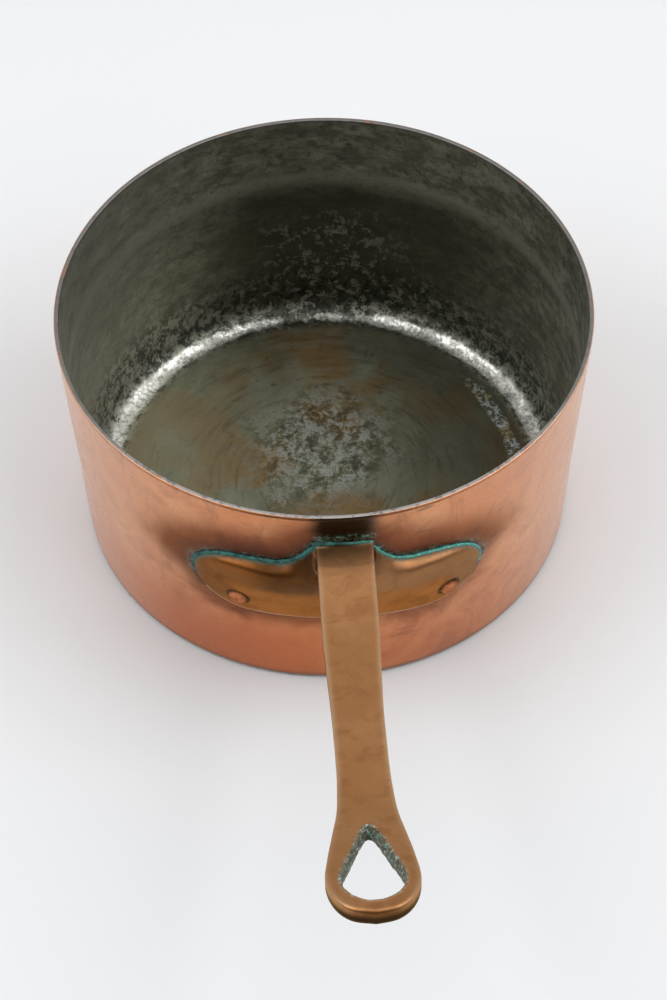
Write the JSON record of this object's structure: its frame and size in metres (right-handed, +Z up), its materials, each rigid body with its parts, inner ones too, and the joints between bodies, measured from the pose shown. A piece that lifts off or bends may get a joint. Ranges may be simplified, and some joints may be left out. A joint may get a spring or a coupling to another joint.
{
  "type": "copper saucepan",
  "caption": "Tapered tin-lined copper saucepan with a cast brass handle, its crescent bracket riveted to the wall and its end pierced for hanging.",
  "frame": {"origin": "centre of the base's underside", "axes": "+Z up along the pan's axis; the handle points along -Y; +X is to the right of someone who faces the handle's end"},
  "size_m": [0.2, 0.378, 0.132],
  "materials": {
    "copper_shell": "worn polished copper with brown heat and handling stains",
    "tin_lining": "old hand-wiped tin, grey-green and streaky, bright where it is rubbed",
    "cast_brass": "satin cast brass with a brown patina",
    "copper_rivet": "hammered copper, rubbed smooth",
    "verdigris": "dull crusty green-blue copper corrosion along the bracket's upper seam and in the hanging hole"
  },
  "bodies": {
    "root": {"pan_body": "copper_shell", "tin_lining": "tin_lining", "handle": "cast_brass", "rivet_left": "copper_rivet", "rivet_right": "copper_rivet", "rivet_center": "copper_rivet"}
  },
  "joints": []
}
